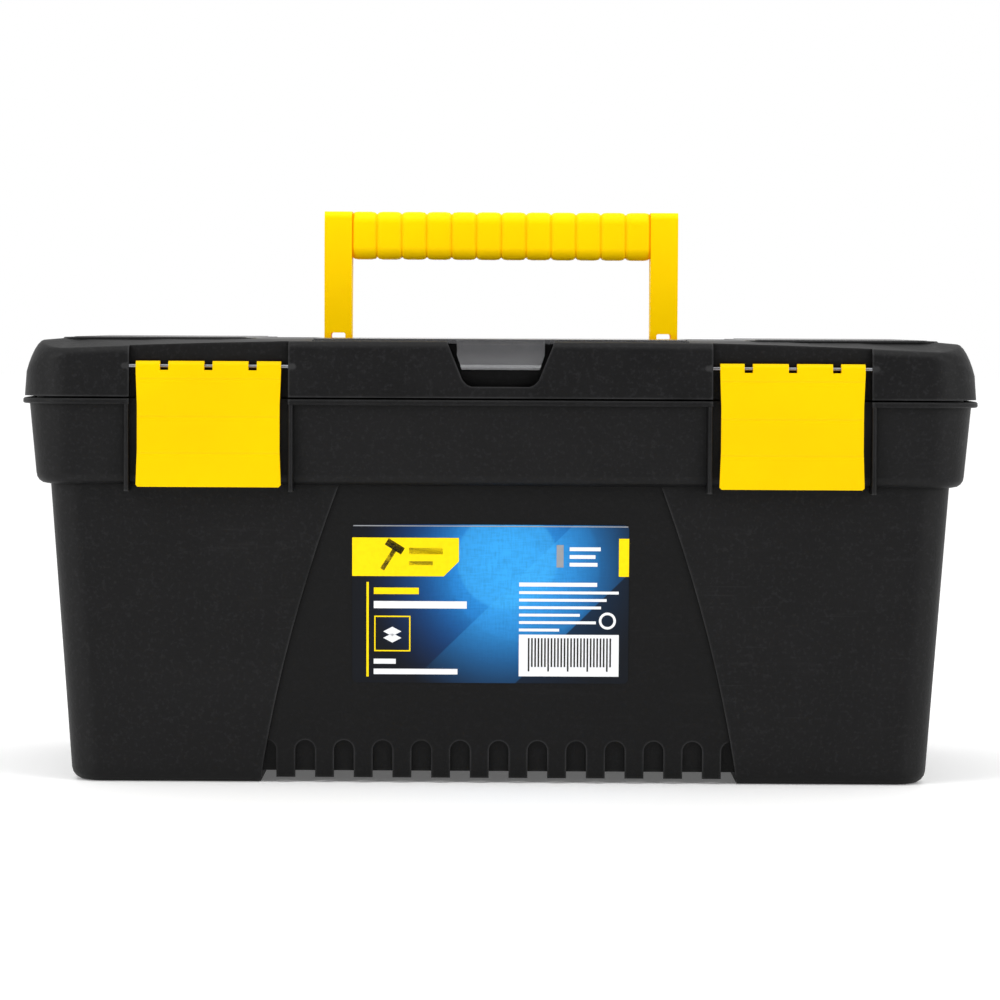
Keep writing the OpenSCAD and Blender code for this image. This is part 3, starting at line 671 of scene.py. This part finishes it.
class TOOLBOX_OT_accents(bpy.types.Operator):
    """Give the carry handle and the latches their yellow plastic"""

    bl_idname = "toolbox.accents"
    bl_label = "Finish handle and latches"

    def execute(self, context):
        settings = context.scene.toolbox_accent
        low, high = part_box("latch_left")
        tall = high.z - low.z
        marks = [low.z + tall * share for share in LATCH_MARKS]
        handle_colour = shade(settings.colour, *HANDLE_SHADE)[:3]
        latch_colour = shade(settings.colour, *LATCH_SHADE)[:3]
        plain = moulded_yellow("moulded_yellow", handle_colour, glow=HANDLE_PAINTED_GLOW)
        lined = moulded_yellow("latch_yellow", latch_colour, marks)
        for name in ACCENT_NODES:
            soften(name, settings.edge)
            dress(name, plain if name == "carry_handle" else lined)
        return {"FINISHED"}


class TOOLBOX_OT_cover(bpy.types.Operator):
    """Give the organizer's cover its clear plastic"""

    bl_idname = "toolbox.cover"
    bl_label = "Finish the clear cover"

    def execute(self, context):
        settings = context.scene.toolbox_cover
        soften("organizer_cover", COVER_EDGE)
        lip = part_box("organizer_cover")[0].z
        clear = clear_plastic("clear_plastic", settings.colour, settings.clearness, lip)
        dress("organizer_cover", clear)
        return {"FINISHED"}


class TOOLBOX_OT_pins(bpy.types.Operator):
    """Give the latch and hinge pins their drawn steel"""

    bl_idname = "toolbox.pins"
    bl_label = "Finish the pins"

    def execute(self, context):
        steel = drawn_steel("drawn_steel")
        for name in PIN_NODES:
            soften(name, PIN_EDGE)
            dress(name, steel)
        return {"FINISHED"}


class TOOLBOX_OT_label(bpy.types.Operator):
    """Print the generic label"""

    bl_idname = "toolbox.label"
    bl_label = "Print the label"

    def execute(self, context):
        low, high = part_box("label")
        dress("label", label_film("label_film", low, high))
        inks = [
            print_ink("ink_yellow", (1.0, 0.72, 0.0)),
            print_ink("ink_white", (0.85, 0.86, 0.88)),
            print_ink("ink_dark", (0.02, 0.018, 0.016)),
            print_ink("ink_grey", (0.3, 0.31, 0.33)),
        ]
        plane = LabelPlane()
        mesh = bmesh.new()
        for outline, ink in label_shapes(plane):
            slab(mesh, plane, outline, ink)
        label_ring(mesh, plane, 101.6, 25.2, outer=3.4, inner=2.4, ink=1)
        printed = make_object("label_print", mesh, inks)
        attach(printed, "box")
        mesh = bmesh.new()
        for outline in label_strokes():
            slab(mesh, plane, outline, 0, STROKE_THICK)
        strokes = make_object("label_strokes", mesh, [inks[2]])
        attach(strokes, "box")
        return {"FINISHED"}


def lamp(name, place, size, power):
    """A soft rectangular lamp aimed at the middle of the box."""
    data = bpy.data.lights.new(name, "AREA")
    data.shape = "RECTANGLE"
    data.size, data.size_y = size
    data.energy = power
    made = bpy.data.objects.new(name, data)
    made.location = place
    made.rotation_euler = (Vector(AIM_POINT) - Vector(place)).to_track_quat("-Z", "Y").to_euler()
    bpy.context.scene.collection.objects.link(made)


class TOOLBOX_OT_stage(bpy.types.Operator):
    """Set the pale floor, the soft lamps and the camera"""

    bl_idname = "toolbox.stage"
    bl_label = "Set the stage"

    # Width in view at the front of the box, and the height the camera looks at
    SPAN = 0.3938
    AIM = 0.1143

    def execute(self, context):
        settings = context.scene.toolbox_stage
        scene = context.scene
        scene.view_settings.view_transform = "Standard"
        world = bpy.data.worlds.new("studio")
        world.use_nodes = True
        world.node_tree.nodes["Background"].inputs["Color"].default_value = (1, 1, 1, 1)
        world.node_tree.nodes["Background"].inputs["Strength"].default_value = 1.0
        scene.world = world

        mesh = bmesh.new()
        bmesh.ops.create_grid(mesh, x_segments=2, y_segments=2, size=FLOOR_HALF)
        f = Finish("pale_floor", Emission_Color=(1, 1, 1, 1), Emission_Strength=0.12)
        tone = f.noise(3.0, 2.0)
        pale, grey = (0.96, 0.96, 0.96, 1), (0.93, 0.93, 0.93, 1)
        f.feed("Base Color", f.mix(tone.step(0.3, 0.7), pale, grey))
        make_object("floor", mesh, [f.material])

        for name, place, size, power in LAMPS:
            lamp(name, place, size, power)
        # A dark flag behind the camera keeps the front faces deep
        mesh = bmesh.new()
        bmesh.ops.create_grid(mesh, x_segments=1, y_segments=1, size=1.0)
        upright = Matrix.Translation(FLAG_PLACE) @ Matrix.Rotation(math.pi / 2, 4, "X")
        mesh.transform(upright @ Matrix.Diagonal((*FLAG_HALF, 1, 1)))
        dark = Finish("flag_black", Base_Color=(0.01, 0.01, 0.01, 1), Specular_IOR_Level=0.0)
        flag = make_object("flag", mesh, [dark.material])
        flag.visible_camera = False

        low = CAD_BOX[0]
        data = bpy.data.cameras.new("camera")
        data.sensor_width = 36.0
        place = Vector((0.0, low.y - settings.distance, settings.height))
        aim = Vector((0.0, low.y, self.AIM))
        data.lens = data.sensor_width * (aim - place).length / self.SPAN
        camera = bpy.data.objects.new("camera", data)
        camera.location = place
        look = (aim - place).to_track_quat("-Z", "Y")
        roll = Matrix.Rotation(settings.roll, 4, "Z").to_quaternion()
        camera.rotation_mode = "QUATERNION"
        camera.rotation_quaternion = look @ roll
        scene.collection.objects.link(camera)
        scene.camera = camera
        return {"FINISHED"}


class TOOLBOX_PT_panel(bpy.types.Panel):
    """Lists the toolbox's pieces and settings"""

    bl_idname = "TOOLBOX_PT_panel"
    bl_label = "Toolbox"
    bl_space_type = "VIEW_3D"
    bl_region_type = "UI"
    bl_category = "Toolbox"

    def draw(self, context):
        for group, operator in (
            ("toolbox_shell", TOOLBOX_OT_shell),
            ("toolbox_accent", TOOLBOX_OT_accents),
            ("toolbox_cover", TOOLBOX_OT_cover),
            (None, TOOLBOX_OT_pins),
            (None, TOOLBOX_OT_label),
            ("toolbox_stage", TOOLBOX_OT_stage),
        ):
            box = self.layout.box()
            if group:
                settings = getattr(context.scene, group)
                for key in settings.bl_rna.properties.keys():
                    if key not in ("rna_type", "name"):
                        box.prop(settings, key)
            box.operator(operator.bl_idname)


GROUPS = {
    "toolbox_shell": ToolboxShellSettings,
    "toolbox_accent": ToolboxAccentSettings,
    "toolbox_cover": ToolboxCoverSettings,
    "toolbox_stage": ToolboxStageSettings,
}
CLASSES = (
    TOOLBOX_OT_shell, TOOLBOX_OT_accents, TOOLBOX_OT_cover, TOOLBOX_OT_pins, TOOLBOX_OT_label,
    TOOLBOX_OT_stage, TOOLBOX_PT_panel,
)


def register():
    for name, group in GROUPS.items():
        bpy.utils.register_class(group)
        setattr(bpy.types.Scene, name, bpy.props.PointerProperty(type=group))
    for one in CLASSES:
        bpy.utils.register_class(one)


def unregister():
    for one in reversed(CLASSES):
        bpy.utils.unregister_class(one)
    for name, group in GROUPS.items():
        delattr(bpy.types.Scene, name)
        bpy.utils.unregister_class(group)


def main():
    register()
    bpy.ops.toolbox.shell()
    bpy.ops.toolbox.accents()
    bpy.ops.toolbox.cover()
    bpy.ops.toolbox.pins()
    bpy.ops.toolbox.label()
    bpy.ops.toolbox.stage()


if __name__ == "__main__":
    main()
